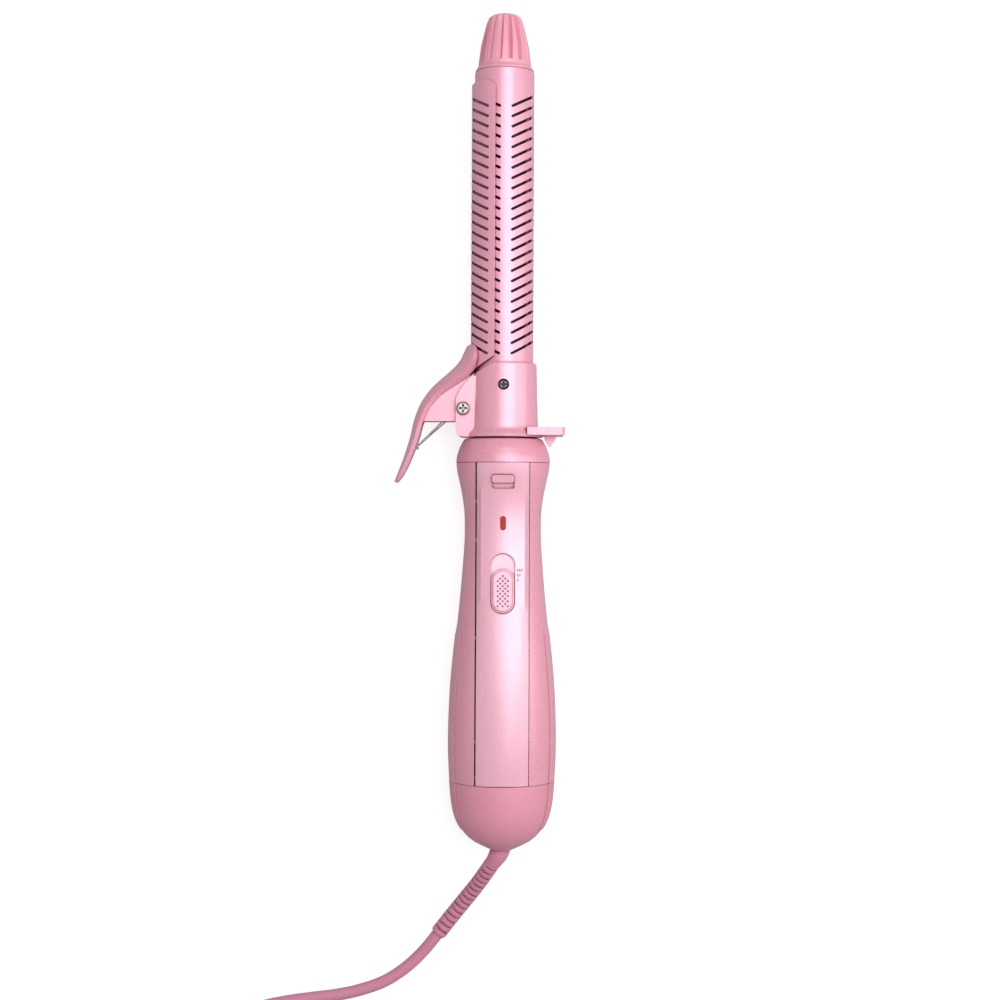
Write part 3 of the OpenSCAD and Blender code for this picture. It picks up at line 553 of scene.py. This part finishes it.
# %% Finish for each node
by_slot = dict(plain, shell_pink=shell_pink, panel_pink=panel_pink, button_pink=button_pink,
               head_pink=head_pink, deep_pink=deep_pink, tip_pink=tip_pink, barrel_pink=barrel_pink,
               cord_pink=cord_pink)
pieces_in = {
    "shell_pink": ["front_shell", "back_shell", "top_ring"],
    "panel_pink": ["front_panel"],
    "button_pink": ["release_button", "switch_knob"],
    "head_pink": ["collar", "clamp_lever"],
    "barrel_pink": ["barrel", "clamp_blade"],
    "deep_pink": ["end_cap"],
    "tip_pink": ["cool_tip"],
    # The air guide's near-black is painted shade for the inside of the barrel; the rest are dark plastic.
    "dark_plastic": ["intake_screen", "motor_mount", "switch_body", "air_guide", "spigot", "fan_rotor"],
    "bright_screw": ["hinge_screw", "hinge_nut"],
    "grey_screw": ["collar_screws", "shell_screws", "tip_screw", "blade_rivets"],
    "spring_steel": ["clamp_spring", "release_spring", "rotor_shaft"],
    "motor_can": ["motor", "thermostat", "thermal_fuse"],
    "mica": ["heater_sleeve", "heater_frame"],
    "heater_wire": ["heater_coil"],
    "board_green": ["circuit_board"],
    # Painted glow on the lens.
    "lamp_red": ["indicator_lens"],
    "led_red": ["indicator_led"],
    "cord_pink": ["strain_relief", "power_cord", "cord_coil", "cord_tail", "plug_body"],
    "tie_black": ["cord_tie"],
    "pin_brass": ["plug_pins"],
}
SHARP = 32  # degrees


def shade_smooth(piece, sharp=SHARP):
    """Smooth shading that breaks only at sharp edges."""
    piece.data.polygons.foreach_set("use_smooth", [True] * len(piece.data.polygons))
    weld = piece.modifiers.new("weld", "WELD")
    weld.merge_threshold = 1e-6
    split = piece.modifiers.new("split", "EDGE_SPLIT")
    split.split_angle = math.radians(sharp)


for slot, names in pieces_in.items():
    for name in names:
        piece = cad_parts[name]
        piece.data.materials.clear()
        piece.data.materials.append(by_slot[slot])
        shade_smooth(piece)
cord.data.materials.append(cord_pink)
print("dressed:", sum(len(names) for names in pieces_in.values()), "nodes")

# %% [markdown]
# ## The paper
# The paper shows as plain white, but what it throws back at the iron is dimmer, as it is when only the
# background is lit. This keeps the iron's sides a deep pink. A stronger lamp would whiten the paper too, but
# it would bleach the iron. So a glow is added that only the camera sees.

# %% Floor finish
PAPER_GLOW = 0.75
paper = Finish("studio_paper")
fibre = paper.noise(3, detail=3)
dim = paper.add("BsdfDiffuse", {}, {"Color": paper.blend(fibre, tint(188, 184, 186), tint(182, 180, 182))})
lit = paper.add("Emission", {}, {"Color": (1, 1, 1, 1), "Strength": PAPER_GLOW})
bright = paper.add("AddShader", {}, {0: dim, 1: lit})
seen = paper.add("LightPath", output="Is Camera Ray")
paper.add("OutputMaterial", {}, {"Surface": paper.add("MixShader", {}, {0: seen, 1: dim, 2: bright})})
floor_data.materials.append(paper.material)
print("floor:", paper.material.name)

# %% [markdown]
# ## The ribbed boot
# Where the cord meets the end cap, a PVC boot keeps it from kinking. It has a plain neck, then chunky rings
# joined by webs that sit in turn on the left and on the right, so the gaps run in a zigzag. One skin is
# swept along the cord's line; at each place the radius drops into a slot, except where a web bridges it.

# %% Boot
BOOT_RINGS = 15
BOOT_SIDES = 48
NECK_LEVEL, NECK = 0.08, 0.2  # shares of the boot where the neck starts to narrow, and where it ends
NECK_R, NECK_DROP = 4.05, 0.7
RING_R, RING_SWELL = 3.4, 0.1
SLOT_R = 2.4  # at the bottom of a slot, inside the skin of the cord
SLOT_SHARE = 0.42  # share of each ring's pitch that is slot
SLOT_WALL = 0.55  # share of a slot that is sloping wall
WEB_FROM, WEB_EDGE = 0.5, 0.2  # cosines: where a web starts, and how soft its edge is
END_FROM, END_ROUND = 0.985, 0.5


def boot_radius(share, angle):
    """Radius of the boot in metres."""
    if share < NECK:
        return MM * (NECK_R - NECK_DROP * ease((share - NECK_LEVEL) / (NECK - NECK_LEVEL)))
    ring_radius = RING_R + RING_SWELL * share
    ring, part = divmod((share - NECK) / (1 - NECK) * BOOT_RINGS, 1)
    edge = min(part, 1 - part) / (SLOT_SHARE / 2)
    slot = 1 - ease((edge - 1 + SLOT_WALL) / SLOT_WALL)
    web = math.cos(angle) if ring % 2 else -math.cos(angle)
    bridge = ease((web - WEB_FROM) / WEB_EDGE)
    end_round = END_ROUND * ease((share - END_FROM) / (1 - END_FROM))
    return MM * (ring_radius - end_round - (ring_radius - SLOT_R) * slot * (1 - bridge))


boot_line = [ground_spot(*p) for p in smooth_line(boot_route, 40)]
boot = sweep("cord_boot", boot_line, boot_radius, BOOT_SIDES)
boot.data.materials.append(boot_pink)
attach(boot, "handle")
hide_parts("strain_relief")
print(boot.name, "is", round(line_length(boot_line) / MM), "mm long")

# %% [markdown]
# ## The tie and the plug
# The coil is held by a strap of hook-and-loop tape, wrapped once. It is one outline drawn round the bundle
# and given a width. The plug is a soft moulding: a tapered neck with grip ribs that widens into a flat body.
# It is lofted through a few rounded sections and then smoothed by subdivision, which is quicker to shape
# than a block cut down by hand.

# %% Loft through rounded sections
CORNER_STEPS = 4


def rounded_section(centre, half_y, half_z, corner):
    """A ring of points across X: a rectangle in Y and Z with round corners."""
    ring = []
    for sign_y, sign_z, start in ((1, 1, 0), (-1, 1, 90), (-1, -1, 180), (1, -1, 270)):
        for k in range(CORNER_STEPS + 1):
            a = math.radians(start + 90 * k / CORNER_STEPS)
            ring.append(centre + MM * Vector((0, sign_y * (half_y - corner) + corner * math.cos(a),
                                              sign_z * (half_z - corner) + corner * math.sin(a))))
    return ring


def loft(name, sections):
    """A closed skin through sections, smoothed by one step of subdivision."""
    work = bmesh.new()
    bridge_rings(work, [[work.verts.new(p) for p in section] for section in sections])
    piece = skin_piece(name, work)
    soften = piece.modifiers.new("soften", "SUBSURF")
    soften.levels = soften.render_levels = 1
    return piece


# %% Plug
PLUG_LONG = 34
PLUG_HALF = 16.6  # half width of the plug's body
plug_stations = [  # distance, half width, half height, corner
    (0, 3.4, 3.4, 3.3), (0.6, 3.8, 3.8, 3.7), (2.6, 4.0, 4.0, 3.9),  # first rib of the neck
    (3.2, 3.5, 3.5, 3.4), (3.9, 3.5, 3.5, 3.4), (4.5, 4.3, 4.2, 4.1), (6.3, 4.5, 4.4, 4.3),  # second rib
    (6.9, 3.9, 3.9, 3.8), (7.6, 3.9, 3.9, 3.8), (8.2, 4.9, 4.7, 4.6), (10.2, 5.2, 5.0, 4.9),  # third rib
    (10.8, 4.6, 4.6, 4.5), (11.5, 4.7, 4.7, 4.6), (12.2, 6.0, 5.9, 5.2), (15, 7.6, 6.5, 5.4),  # shoulder
    (19, 10.6, 6.9, 5.2), (23, 14.6, 7.0, 4.6), (26, 16.2, 7.05, 4.0), (30, PLUG_HALF, 7.05, 3.2),  # body
    (33.2, PLUG_HALF, 7.05, 3.0), (33.8, 16.2, 6.7, 2.8), (PLUG_LONG, 15.4, 5.9, 2.4)]  # rounded face
plug_start = ground_spot(*PLUG_START)
plug = loft("mains_plug", [rounded_section(plug_start + Vector((x * MM, 0, 0)), w, h, c)
                           for x, w, h, c in plug_stations])
plug.data.materials.append(boot_pink)
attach(plug, "handle")
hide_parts("plug_body")
print(plug.name, "is", PLUG_LONG, "mm long")

# %% Tie
TIE_ANGLE = 200  # round the coil, in degrees
TIE_WIDTH = 8
TIE_CORNER, TIE_STEPS = 2.2, 6
STRAP = 0.9  # thickness
LOOSE = 0.05  # room between the strap and the turns, and under it
UNDER = 0.3  # the lowest that the strap's inside may go
TIE_SHARP = 40  # degrees
bundle_in = coil_inner - CORD_D / 2 - LOOSE
bundle_out = coil_outer + CORD_D / 2 + LOOSE
bundle_top = 2 * CORD_D + LOOSE


def strap_section(across):
    """Outline of the strap round the bundle: inside then outside, a station across its width."""
    left, right = bundle_in + TIE_CORNER, bundle_out - TIE_CORNER
    low, high = TIE_CORNER + LOOSE, bundle_top - TIE_CORNER
    outline = []
    for radius, lowest in ((TIE_CORNER, UNDER), (TIE_CORNER + STRAP, LOOSE)):
        for x, z, start in ((right, high, 0), (left, high, 90), (left, low, 180), (right, low, 270)):
            for k in range(TIE_STEPS + 1):
                a = math.radians(start + 90 * k / TIE_STEPS)
                height = max(z + radius * math.sin(a), lowest)
                outline.append(Vector((x + radius * math.cos(a), across, height)))
    return outline


def strap(name):
    work = bmesh.new()
    sections = [strap_section(y) for y in (-TIE_WIDTH / 2, TIE_WIDTH / 2)]
    count = len(sections[0]) // 2
    turn = Matrix.Rotation(math.radians(TIE_ANGLE), 3, "Z")
    centre = Vector((coil_centre.x, coil_centre.y, 0))
    made = [[work.verts.new(ground_spot(*(centre + turn @ p))) for p in s] for s in sections]
    for k in range(count):
        n = (k + 1) % count
        for lane in (0, count):
            work.faces.new((made[0][lane + k], made[0][lane + n], made[1][lane + n], made[1][lane + k]))
        for side in made:
            work.faces.new((side[k], side[n], side[count + n], side[count + k]))
    piece = skin_piece(name, work)
    shade_smooth(piece, TIE_SHARP)
    return piece


tie = strap("cord_strap")
tie.data.materials.append(plain["tie_black"])
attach(tie, "handle")
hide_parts("cord_tie")
print(tie.name, "holds", round(bundle_out - bundle_in, 1), "mm of turns")

# %% [markdown]
# ## The setting marks
# Beside the switch, a printed scale shows the four settings. Words are not needed: three strokes, two, one
# and a dot for off say the same. Each stroke is a thin pad of ink that is dropped on the panel's face by
# casting a ray down on it, so it follows the crown.

# %% Printed marks
MARK_X = 6.3
MARK_TOP = -55.6
MARK_PITCH = 2.1
STROKE_W, STROKE_H, STROKE_PITCH = 0.42, 1.15, 0.85
STROKE_SIDES = 12
INK = 0.03  # how far a mark stands out of the panel, and half its thickness
DROP_FROM, PANEL_RISE = 60, 16  # heights over the axis: where a ray starts, and the panel's own
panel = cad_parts["front_panel"]


def on_panel(x, y):
    """The point of the panel's face at a place."""
    hit, place, _, _ = panel.ray_cast(spot(x, y, DROP_FROM), Vector((0, 0, -1)))
    return place if hit else spot(x, y, PANEL_RISE)


def stroke_outline(x, y, tall):
    """Corners of an upright stroke with round ends."""
    bend, reach = STROKE_W / 2, (tall - STROKE_W) / 2
    turns = [math.radians((i + 0.5) * 360 / STROKE_SIDES) for i in range(STROKE_SIDES)]
    return [(x + bend * math.cos(a), y + math.copysign(reach, math.sin(a)) + bend * math.sin(a))
            for a in turns]


marks_mesh = bmesh.new()
for row, strokes in enumerate((3, 2, 1, 0)):
    for k in range(max(strokes, 1)):
        outline = stroke_outline(MARK_X + k * STROKE_PITCH, MARK_TOP - row * MARK_PITCH,
                                 STROKE_H if strokes else STROKE_W)
        top = [on_panel(u, v) + Vector((0, 0, INK * MM)) for u, v in outline]
        low = [p - Vector((0, 0, 2 * INK * MM)) for p in top]
        bridge_rings(marks_mesh, [[marks_mesh.verts.new(p) for p in ring] for ring in (low, top)])
marks = skin_piece("setting_marks", marks_mesh)
marks.data.materials.append(dull_solid("mark_ink", tint(150, 84, 104), size=0.2, rough=0.5))
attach(marks, "handle")

# %% [markdown]
# ## The size of the scene
# The box round every shown piece except the floor is found and printed when the file finishes.

# %% The visual box
ground_spot(*cord_line[0])
low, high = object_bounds()
print("visual box", [round(v, 4) for v in low], [round(v, 4) for v in high])
